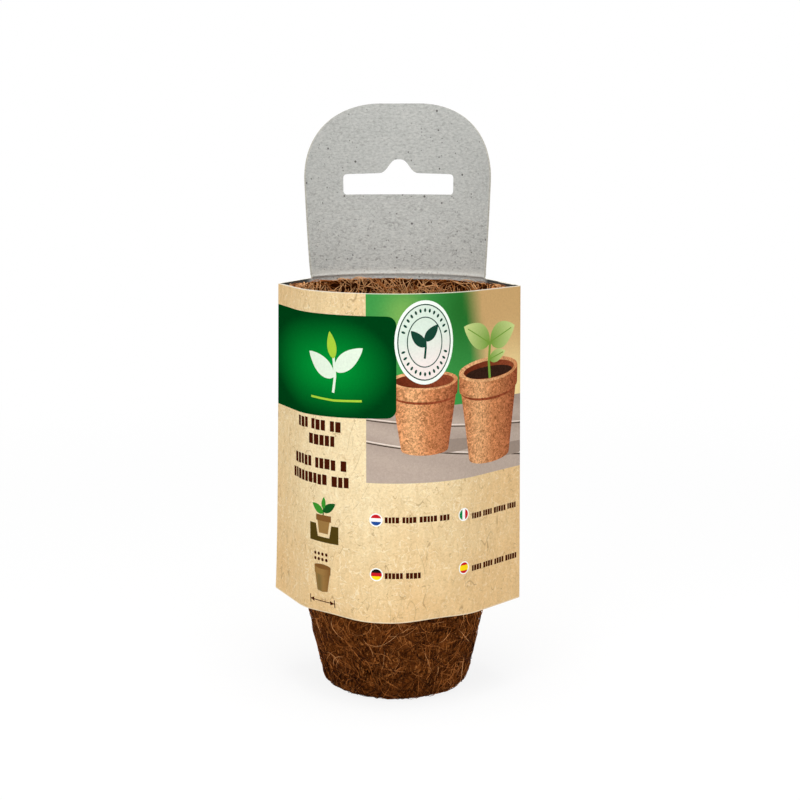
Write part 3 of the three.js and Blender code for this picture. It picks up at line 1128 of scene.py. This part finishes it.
layout = {  # places on the flat front in mm, across from its middle and up from its foot
    "garden": (-4.0, 40.5, sleeve["half"], sleeve["length"]),
    "panel": (-sleeve["half"], 58.95, 4.6, 87.3, 2.6),
    "seal": (12.6, 80.1, 8.55, 11.8),
    "planting": (-18.4, 21.6),
    "count": (-19.6, 17.2),
    "potIcon": (-19.0, 6.7, 7.6, 3.35),
    "measure": (-24.6, -14.6, 3.7),
    "headings": (
        (-30.7, -11.0, 55.6, 3), (-24.5, -14.1, 51.3, 9), (-33.4, -10.1, 44.6, 4), (-35.1, -9.2, 39.9, 9)),
    "headingSize": (3.0, 1.75),
    "lines": ((1.3, 20.8, 30.0), (28.6, 48.6, 29.0), (1.3, 11.9, 13.9), (28.7, 49.0, 13.5)),
    "lineSize": (1.7, 0.88),
    "roundels": (
        (-1.2, 30.0, "red", "white", "blue", False, 0.5),
        (25.3, 30.0, "flagGreen", "white", "red", True, 0.5),
        (-1.1, 14.2, "black", "red", "gold", False, 0.5),
        (25.5, 14.3, "red", "gold", "red", False, 0.78),
    ),
}


def printFront():
    rng = np.random.default_rng(11)
    printGarden(*layout["garden"])
    printPanel(*layout["panel"])
    printSeal(*layout["seal"])
    for left, right, h, word in layout["headings"]:
        wording(rng, left, right, h, *layout["headingSize"], word)
    draw("planting", *layout["planting"])
    printCount(*layout["count"])
    printPotIcon(*layout["potIcon"])
    printMeasure(*layout["measure"])
    for roundel in layout["roundels"]:
        printRoundel(*roundel)
    for left, right, h in layout["lines"]:
        wording(rng, left, right, h, *layout["lineSize"], 4)


printFront()
print("printed shapes:", len(printed))


def paperTones(*names):
    return [tuple(linear(paper[name])) for name in names]


kraftLook = {
    "paintedLightFrom": (-8 * mm, 52 * mm, -100 * mm),  # painted light: the kraft is painted lightest here on the front, with painted shade away from it
    "paintedLightReach": 68 * mm,
    "lean": (1.0, 0.28, 1.0, 0.0, 0.0, -0.5),
    "fibres": (  # scale, thinness, cover, strength, colour and how they lie
        (230.0, 0.020, 0.44, 0.30, "hair", None),
        (430.0, 0.030, 0.46, 0.26, "hair", None),
        (290.0, 0.030, 0.40, 0.40, "pale", None),
        (190.0, 0.014, 0.545, 0.55, "dark", None),
        (150.0, 0.012, 0.53, 0.58, "dark", (1.0, 0.36, 1.0, 0.0, 0.0, -1.0)),
        (90.0, 0.0085, 0.53, 0.58, "dark", (1.0, 0.36, 1.0, 0.0, 0.0, -1.0)),
    ),
    "dark": (0.34, 0.20, 0.085),
    "speck": (0.20, 0.10, 0.04),
}


def kraftPrint():
    card = Surface("printedKraft", 0.75, 0.0, "flatPlace")
    bright, body, deep, hair, pale, cut = paperTones(
        "kraftPaintedLight", "kraft", "kraftPaintedShade", "kraftHair", "kraftPale", "cut")
    shades = {"hair": hair, "pale": pale, "dark": kraftLook["dark"]}
    cloud = card.times(card.math("SUBTRACT", card.noise(70.0, 4.0, 0.6), 0.5), 0.9)
    # painted light and shade: lightest near a spot on the front, deeper towards the creases and over the
    # back and tab
    away = card.far(kraftLook["paintedLightFrom"], kraftLook["paintedLightReach"])
    tone = card.ramp(card.plus(away, cloud), (0.08, bright), (0.5, body), (1.0, deep))
    grain = card.spread(card.noise(1500.0, 3.0, 0.65), 0.28, 0.72)
    tone = card.tint(0.17, tone, grain, (0.30, 0.24, 0.16), (1.12, 1.12, 1.12))
    slanting = card.spread(card.noise(420.0, 3.0, 0.6, 0.8, kraftLook["lean"]), 0.36, 0.66)
    tone = card.tint(0.11, tone, slanting, (0.55, 0.50, 0.42), (1.25, 1.25, 1.25))
    for scale, thin, cover, strength, shade, lie in kraftLook["fibres"]:
        strands = card.times(card.hairs(scale, thin, cover, 1.3, lie), strength)
        if shade == "pale":  # fewer show where painted shade lies on the sides and back
            strands = card.times(strands, card.spread(away, 0.6, 1.1, 1.0, 0.45))
        tone = card.mix(strands, tone, shades[shade])
    cells = card.spread(card.cells(420.0), 0.05, 0.12, 1.0, 0.0)
    specks = card.times(cells, card.spread(card.noise(160.0, 1.0), 0.56, 0.62))
    tone = card.mix(card.times(specks, 0.6), tone, kraftLook["speck"])

    coarse = card.spread(card.noise(900.0, 4.0, 0.7, 1.5), 0.30, 0.70)
    fibrous = card.mix(coarse, (0.42, 0.36, 0.30), (1.35, 1.30, 1.25))
    ink, fibrousShare = card.read("printInk", "Color"), card.read("printGrain", "Fac")
    inked = card.tint(1.0, ink, fibrousShare, (1.0, 1.0, 1.0), fibrous)
    inked = card.tint(0.10, inked, grain, (0.2, 0.2, 0.2), (1.0, 1.0, 1.0))
    tone = card.mix(card.read("printInk", "Alpha"), tone, inked)

    height, top = card.axis("Y"), sleeve["length"] * mm
    upper = card.spread(height, top - 0.28 * mm, top - 0.12 * mm, 0.0, 0.8)
    upper = card.times(upper, card.spread(height, top + 0.05 * mm, top + 0.1 * mm, 1.0, 0.0))
    fuzz = card.plus(upper, card.spread(height, 0.22 * mm, 0.40 * mm, 0.45, 0.0))
    card.color(card.mix(card.times(fuzz, 0.75), tone, cut))
    card.rough(card.spread(card.noise(600.0, 2.0), 0.2, 0.8, 0.60, 0.74))
    card.bump(card.plus(grain, card.noise(260.0, 2.0)), 0.03 * mm, 0.5)
    return card.material


greyLook = {
    "hair": (0.24, 0.235, 0.225),
    "fibres": (  # scale, thinness, cover, stretch, strength and colour
        (300.0, 0.016, 0.46, 0.45, 0.30, "hair"),
        (460.0, 0.024, 0.46, 0.45, 0.30, "hair"),
        (380.0, 0.020, 0.46, 0.45, 0.42, "pale"),
        (620.0, 0.030, 0.46, 0.45, 0.38, "pale"),
        (520.0, 0.028, 0.52, 0.22, 0.55, "hair"),
        (360.0, 0.016, 0.53, 0.30, 0.55, "hair"),
    ),
    "specks": ((300.0, 0.13, 0.50, 0.90), (430.0, 0.14, 0.50, 0.80), (640.0, 0.18, 0.52, 0.50)),
    "speck": (0.085, 0.08, 0.075),
    "scoreSag": 0.36 * mm,
    "scoreBow": 0.40,
    # painted shade along the score, painted highlight above it and painted shade beside the creases
    "scoreShadeTone": (0.27, 0.265, 0.25),
    "scoreHighlightTone": (0.62, 0.61, 0.56),
    "creaseShadeTone": (0.022, 0.025, 0.024),
}


def greyInside():
    card = Surface("greyBoard", 0.82, 0.2, "flatPlace")
    body, dark, pale = paperTones("board", "boardDark", "boardPale")
    shades = {"hair": greyLook["hair"], "pale": pale}
    along, up, top = card.axis("X"), card.axis("Y"), sleeve["length"] * mm
    lines = card.noise(1700.0, 3.0, 0.75, 0.4, (0.5, 1.0, 1.0, 0.0, 0.0, 0.0))
    both = card.plus(card.times(lines, 0.85), card.times(card.noise(90.0, 3.0, 0.6), 0.15))
    tone = card.mix(0.35, card.ramp(both, (0.35, dark), (0.5, body), (0.65, pale)), body)
    rougher = card.spread(up, (sleeve["length"] + 4) * mm, (sleeve["length"] + 40) * mm, 1.3, 0.35)
    for scale, thin, cover, long, strength, shade in greyLook["fibres"]:
        hairs = card.hairs(scale, thin, cover, 0.8, (long, 1.0, 1.0, 0.0, 0.0, 0.1))
        tone = card.mix(card.times(hairs, rougher, strength), tone, shades[shade])
    for scale, big, cover, strength in greyLook["specks"]:
        cells = card.spread(card.cells(scale), 0.6 * big, big, 1.0, 0.0)
        specks = card.times(cells, card.spread(card.noise(0.9 * scale, 1.0), cover, cover + 0.02))
        tone = card.mix(card.times(specks, strength), tone, greyLook["speck"])

    # the score sags a little in its middle; painted shade lies along it, a painted highlight just above it
    # on the bead, and painted shade beside both creases
    onTop = card.spread(card.axis("Z"), 0.15, 0.16)
    sag = card.math("SUBTRACT", greyLook["scoreSag"], card.times(along, along, greyLook["scoreBow"]))
    height = card.plus(card.math("SUBTRACT", up, top), sag)
    # painted shade along the score
    groove = card.times(
        card.spread(height, 0.22 * mm, 0.45 * mm, 1.0, 0.0), card.spread(height, -0.30 * mm, -0.05 * mm))
    tone = card.mix(card.times(groove, onTop, 0.55), tone, greyLook["scoreShadeTone"])
    # painted highlight above the score, on the top of its bead
    scoreHighlight = card.times(
        card.spread(height, 0.42 * mm, 0.62 * mm), card.spread(height, 1.0 * mm, 3.2 * mm, 1.0, 0.0))
    tone = card.mix(card.times(scoreHighlight, onTop, 0.50), tone, greyLook["scoreHighlightTone"])
    # painted shade on the inside of the back panel beside each crease, outside the tab
    for side, start in zip((-1, 1), sleeve["backDipFrom"]):
        beside = card.times(
            card.spread(card.times(along, side), (start - 1.6) * mm, (start + 2.4) * mm),
            card.spread(up, top - 7 * mm, top - 1 * mm),
            card.spread(up, top + 0.1 * mm, top + 0.2 * mm, 1.0, 0.0),
            onTop, 0.94)
        tone = card.mix(beside, tone, greyLook["creaseShadeTone"])
    # painted light: the grey board is made lighter below the score and low on the tab, fading to slightly
    # under its own tone at the top, for the shade on the tab's lower part
    paintedLightBelow = card.spread(up, top, top + 40 * mm, 1.22, 0.975)
    card.color(card.mix(1.0, tone, paintedLightBelow, "MULTIPLY"))
    card.bump(both, 0.06 * mm, 0.7)
    return card.material


def cutEdge(name, tone):
    card = Surface(name, 0.85, 0.15, "flatPlace")
    grain = card.spread(card.noise(1800.0, 3.0), 0.3, 0.7)
    edge, = paperTones(tone)
    card.color(card.mix(grain, tuple(0.72 * c for c in edge), edge))
    card.bump(grain, 0.04 * mm, 0.6)
    return card.material


# Outside, inside, cut edges of the sleeve and of the tab
cardMats = (kraftPrint(), greyInside(), cutEdge("paleEdge", "cut"), cutEdge("greyEdge", "cutGrey"))


# Sheets of a card piece in one mesh: each has points, faces, a material, flat places and ink
class CardPiece:
    def __init__(self):
        self.points, self.flat, self.faces, self.materials, self.ink, self.grain = [], [], [], [], [], []
        self.count = 0

    def add(self, points, flat, faces, material, ink=None, grain=None):
        faces = np.asarray(faces)
        corners = faces.size
        self.points.append(np.asarray(points).reshape(-1, 3))
        self.flat.append(np.asarray(flat).reshape(-1, 3)[faces.ravel()])
        self.faces.append(faces + self.count)
        self.materials.append(np.full(len(faces), material))
        self.ink.append(np.zeros((corners, 4)) if ink is None else ink)
        self.grain.append(np.zeros(corners) if grain is None else grain)
        self.count += len(self.points[-1])

    def finish(self, name):
        mesh = meshOf(name, np.vstack(self.points), self.faces, cardMats, np.concatenate(self.materials))
        flat = mesh.attributes.new("flatPlace", "FLOAT_VECTOR", "CORNER")
        flat.data.foreach_set("vector", (np.vstack(self.flat) * mm).astype(np.float32).ravel())
        ink = mesh.attributes.new("printInk", "FLOAT_COLOR", "CORNER")
        ink.data.foreach_set("color", np.vstack(self.ink).astype(np.float32).ravel())
        grain = mesh.attributes.new("printGrain", "FLOAT", "CORNER")
        grain.data.foreach_set("value", np.concatenate(self.grain).astype(np.float32))
        closeUp(mesh)
        return addPiece(name, mesh)


def gridFaces(rows, columns):
    index = np.arange(rows * columns).reshape(rows, columns)
    return np.stack([index[:-1, :-1], index[:-1, 1:], index[1:, 1:], index[1:, :-1]], -1).reshape(-1, 4)


def flatPlaces(s, h, side):
    s, h = np.broadcast_arrays(s, h)
    return np.stack([s, h, np.full(s.shape, side * 100.0)], -1)


def stops(low, high, step, extra):
    even = np.linspace(low, high, int(round((high - low) / step)) + 1)
    far = [e for e in even[1:-1] if all(abs(e - x) > 0.35 * step for x in extra)]
    return np.unique(np.round([low, high, *far, *extra], 4))


def inkOf(flat, tris, tops):
    ink = np.zeros((len(tris), 3, 4))
    grain = np.zeros((len(tris), 3))
    places = flat[tris]
    for top in np.unique(tops[tops > 0]):
        here = tops == top
        paint, fibrous = printed[top - 1][1:]
        ink[here, :, :3] = paint(places[here][..., 0], places[here][..., 1])
        ink[here, :, 3] = 1.0
        grain[here] = fibrous
    return ink.reshape(-1, 4), grain.ravel()


# Columns of the back panel: place along the card, depth of its outer and of its inner face. The
# flap and the seam's groove are steps in them
def backColumns(across):
    thick, deep = sleeve["card"], sleeve["seamDepth"]
    lapFrom, lapTo = sleeve["lap"]
    seamFrom, seamTo = (sleeve["seam"] + side * sleeve["seamWidth"] / 2 for side in (-1, 1))
    steps = (
        (lapFrom, 0.0, thick), (lapFrom, 0.0, 2 * thick), (lapTo, 0.0, 2 * thick), (lapTo, 0.0, thick),
        (seamFrom, 0.0, thick), (seamFrom, deep, thick), (seamTo, deep, thick), (seamTo, 0.0, thick),
    )
    room = sleeve["stepRoom"]
    even = [s for s in across if all(abs(s - x) > room for x in (lapFrom, lapTo, seamFrom, seamTo))]
    columns = [(s, 0.0, 2 * thick if lapFrom < s < lapTo else thick) for s in even]
    return np.array(sorted([*columns, *steps], key=lambda column: column[0]))


def makeSleeve():
    half, long, thick = sleeve["half"], sleeve["length"], sleeve["card"]
    folds = [side * (half - k * sleeve["foldStep"]) for side in (-1, 1) for k in (1, 2, 3, 4)]
    shapes = [shape[0] for shape in printed]
    onEdge = np.vstack(shapes)
    atSide = onEdge[np.abs(np.abs(onEdge[:, 0]) - half) < 1e-3, 1]
    atEnd = onEdge[np.minimum(np.abs(onEdge[:, 1]), np.abs(onEdge[:, 1] - long)) < 1e-3, 0]
    up = stops(0, long, sleeve["upStep"], [*atSide[(atSide > 0.01) & (atSide < long - 0.01)]])
    across = stops(-half, half, sleeve["acrossStep"], [*folds, *atEnd[np.abs(atEnd) < half - 0.01]])
    edge = [(s, 0) for s in across[:-1]] + [(half, h) for h in up[:-1]]
    edge += [(s, long) for s in across[:0:-1]] + [(-half, h) for h in up[:0:-1]]
    lattice = [(s, h) for s in across[1:-1] for h in up[1:-1]]
    flat, tris, tops = cutCard(edge, lattice, shapes)
    s, h = flat.T
    piece = CardPiece()
    front = sleevePoint(s, h, swell(s, h), -1)
    piece.add(front, flatPlaces(s, h, -1), tris, 0, *inkOf(flat, tris, tops))
    grid = np.meshgrid(across, up)
    inner = sleevePoint(*grid, swell(*grid) + thick, -1)
    piece.add(inner, flatPlaces(*grid, -2), gridFaces(len(up), len(across)), 1)

    columns = backColumns(across)
    grid = np.meshgrid(columns[:, 0], up)
    faces = gridFaces(len(up), len(columns))
    for depth, side, material in ((1, 1, 0), (2, 2, 1)):
        points = sleevePoint(*grid, columns[:, depth][None, :], 1)
        size = np.linalg.norm(np.diff(points[0], axis=0), axis=1)
        keep = np.tile(size > weldGap, len(up) - 1)
        piece.add(points, flatPlaces(*grid, side), faces[keep], material)

    for height in (0.0, long):  # the card's cut edges
        bulge = swell(across, height)
        for places, side, first, second in (
                (across, -1, bulge, bulge + thick), (columns[:, 0], 1, columns[:, 1], columns[:, 2])):
            lines = [sleevePoint(places, height, depth, side) for depth in (first, second)]
            count = len(places)
            k = np.arange(count - 1)[np.diff(places) > 1e-6]
            ring = np.stack([k, k + 1, count + k + 1, count + k], -1)
            piece.add(np.vstack(lines), flatPlaces(np.tile(places, 2), height, 3 * side), ring, 2)
    made = piece.finish("dressed_sleeve")
    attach(made, "sleeve")
    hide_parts("card_sleeve")
    print("sleeve faces:", len(made.data.polygons))


makeSleeve()


# Hang tab: the back panel's card carried on above the score

tabLow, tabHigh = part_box("hang_tab")

tab = {
    "width": 64.2,
    "height": (tabHigh.z - tabLow.z) / mm,
    "shift": -3.1,
    "cornerReach": 26.0,
    "cornerDrop": 23.8,
    "topBend": 42.0 * mm,
    "score": (tabLow.z - sleeveHigh.z) / mm,
    "slotWidth": 35.8,
    "slotShift": -0.22,
    "slotRise": 24.6,
    "slotEnd": 6.2,  # height of the slot at its ends
    "slotSlope": 0.45,
    "slotCorner": 1.1,
    "hump": 4.1,
    "humpHalf": 3.7,
    "step": 1.9,
    "bead": 0.24 * mm,
    "beadRise": 0.1,
    "beadWidth": 0.42,
    "blendRise": 8.0 * mm,
    "widen": 1.0145,  # matches the tab's run along the card to the sleeve's at the score
    "settle": 4,  # how far up the card has left the sleeve's own curve
    "firstRows": (-0.15, 0.0, 0.12, 0.26, 0.42, 0.6, 0.85, 1.2, 1.8, 2.8),
    "rowsFrom": 4.6,
}


def tabEdge():
    half, low = tab["width"] / 2, -tab["score"]
    centre = (half - tab["cornerReach"], tab["height"] - tab["cornerDrop"])
    points = [(s, low) for s in np.linspace(-half, half, 40)]
    sides = [h for h in tabRows() if low < h < centre[1] - 0.5]
    corner = [
        (centre[0] + tab["cornerReach"] * math.cos(a), centre[1] + tab["cornerDrop"] * math.sin(a))
        for a in np.linspace(0, math.pi / 2, 30)
    ]
    points += [(half, h) for h in sides] + corner
    points += [(s, tab["height"]) for s in np.linspace(centre[0], -centre[0], 8)[1:-1]]
    points += [(-s, h) for s, h in corner[::-1]] + [(-half, h) for h in sides[::-1]]
    return np.array(points)


def tabRows():
    return np.array([*tab["firstRows"], *np.arange(tab["rowsFrom"], tab["height"], tab["step"])])


def slotEdge():
    half, corner = tab["slotWidth"] / 2, tab["slotCorner"]
    low, ends = tab["slotRise"], tab["slotRise"] + tab["slotEnd"]

    def quarter(s, h, start):
        return [(s + corner * math.cos(a), h + corner * math.sin(a))
                for a in np.linspace(start, start + math.pi / 2, 5)]

    points = quarter(-half + corner, low + corner, math.pi)
    points += [(s, low) for s in np.linspace(-half + corner + 1, half - corner - 1, 31)]
    points += quarter(half - corner, low + corner, 1.5 * math.pi)
    points += quarter(half - corner, ends - corner, 0.0)
    for s in np.linspace(half - corner - 1, -half + corner + 1, 61):
        rise = tab["slotSlope"] * (1 - abs(s) / half)
        points.append((s, ends + rise + tab["hump"] * math.exp(-abs(s / tab["humpHalf"]) ** 3.1)))
    points += quarter(-half + corner, ends - corner, math.pi / 2)
    return np.array(points) + (tab["slotShift"], 0)


# The tab's free curve, run together at its foot with the sleeve's own
def tabPoint(s, h, inset):
    round, score = sleeve["round"], tab["score"]
    bend = round + (tab["topBend"] - round) * np.clip(h, 0, None) / tab["height"]
    bead = tab["bead"] * np.exp(-((h - tab["beadRise"]) / tab["beadWidth"]) ** 2)
    bead = bead * np.clip((h + score) / 0.15, 0, 1)
    reach = bend - inset - bead
    angle = s * mm / bend
    free = np.stack([reach * np.sin(angle), round - bend + reach * np.cos(angle), tabLow.z + h * mm], -1)
    onTop = sleevePoint(s * tab["widen"], sleeve["length"], inset + bead, 1)
    onTop[..., 2] = free[..., 2]
    share = np.clip((h + score) / tab["settle"], 0, 1)[..., None]
    share = share ** 2 * (3 - 2 * share)
    return onTop * (1 - share) + free * share


def makeTab():
    edge, slot = tabEdge(), slotEdge()
    rows = tabRows()
    even = np.arange(-tab["width"] / 2 + 1.2, tab["width"] / 2 - 0.8, tab["step"])
    lattice = [(s + (0.5 * tab["step"] if k % 2 else 0.0), h) for k, h in enumerate(rows) for s in even]
    lattice = [p for p in lattice if clearOf(p, edge) and clearOf(p, slot)]
    flat, tris, tops = cutCard(edge, lattice, [slot])
    tris = tris[tops == 0]
    s, h = flat[:, 0] + tab["shift"], flat[:, 1]
    piece = CardPiece()
    high = sleeve["length"] + tab["score"] + h
    outer, inner = (tabPoint(s, h, inset) for inset in (0.0, sleeve["card"]))
    piece.add(outer, flatPlaces(s, high, 1), tris, 0)
    piece.add(inner, flatPlaces(s, high, 2), tris[:, ::-1], 1)
    sides = openEdges(tris)
    both = np.concatenate([outer, inner])
    count = len(s)
    walls = np.stack([sides[:, 1], sides[:, 0], sides[:, 0] + count, sides[:, 1] + count], -1)
    piece.add(both, flatPlaces(np.tile(s, 2), np.tile(high, 2), 3), walls, 3)
    made = piece.finish("dressed_tab")
    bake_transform(made)
    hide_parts("hang_tab")
    print("tab faces:", len(made.data.polygons))


# Whether a lattice point stands clear of an outline. The rows near the score are kept whole, so
# that the bead stays even
def clearOf(place, loop):
    return np.min(np.hypot(*(loop - place).T)) > 0.45 * tab["step"] or place[1] < 3


# Edges that only one triangle has
def openEdges(tris):
    edges = np.vstack([tris[:, [0, 1]], tris[:, [1, 2]], tris[:, [2, 0]]]).astype(np.int64)
    size = tris.max() + 1
    there = edges[:, 0] * size + edges[:, 1]
    back = edges[:, 1] * size + edges[:, 0]
    return edges[~np.isin(there, back)]


makeTab()
